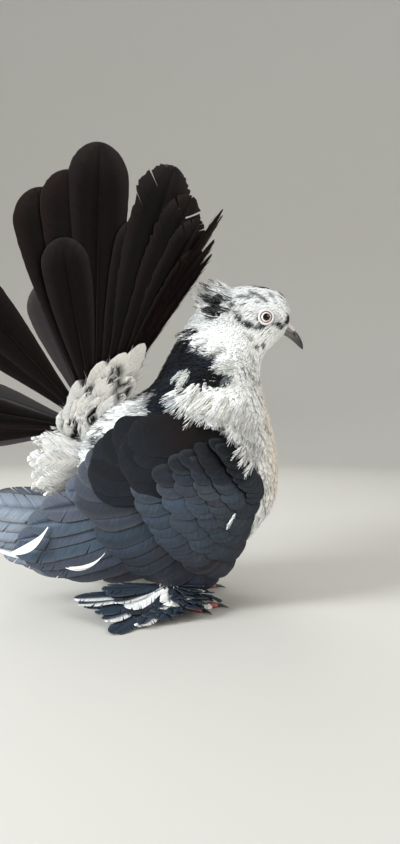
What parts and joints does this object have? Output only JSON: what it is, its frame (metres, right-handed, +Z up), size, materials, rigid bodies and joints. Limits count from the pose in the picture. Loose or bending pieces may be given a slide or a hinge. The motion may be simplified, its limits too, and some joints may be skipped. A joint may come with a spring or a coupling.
{
  "type": "fantail pigeon model",
  "caption": "Life-size still model of a black and white fantail pigeon, standing low with its fan raised, a small crest and feathered feet.",
  "frame": {"origin": "middle of the bounding box's footprint, at floor level under the toes", "axes": "+Z up, +X the way the bird faces, +Y its left side"},
  "size_m": [0.2908, 0.1784, 0.3253],
  "materials": {
    "white_plumage": "matt",
    "wing_plumage": "satin with a faint teal sheen",
    "tail_plumage": "satin",
    "leg_plumage": "matt",
    "horn": "satin",
    "bare_skin": "matt",
    "eye": "wet gloss"
  },
  "bodies": {
    "root": {"head": "white_plumage", "neck": "white_plumage", "torso": "white_plumage", "rump": "white_plumage", "bill_upper": "horn", "bill_lower": "horn", "wattle": "bare_skin", "eye_right": "eye", "eye_left": "eye", "eyelids_right": "bare_skin", "eyelids_left": "bare_skin", "wing_right": "wing_plumage", "wing_left": "wing_plumage", "tail_right": "tail_plumage", "tail_left": "tail_plumage", "thigh_right": "leg_plumage", "thigh_left": "leg_plumage", "foot_right": "leg_plumage", "foot_left": "leg_plumage", "claw_right_1": "horn", "claw_right_2": "horn", "claw_right_3": "horn", "claw_right_4": "horn", "claw_left_1": "horn", "claw_left_2": "horn", "claw_left_3": "horn", "claw_left_4": "horn"}
  },
  "joints": []
}
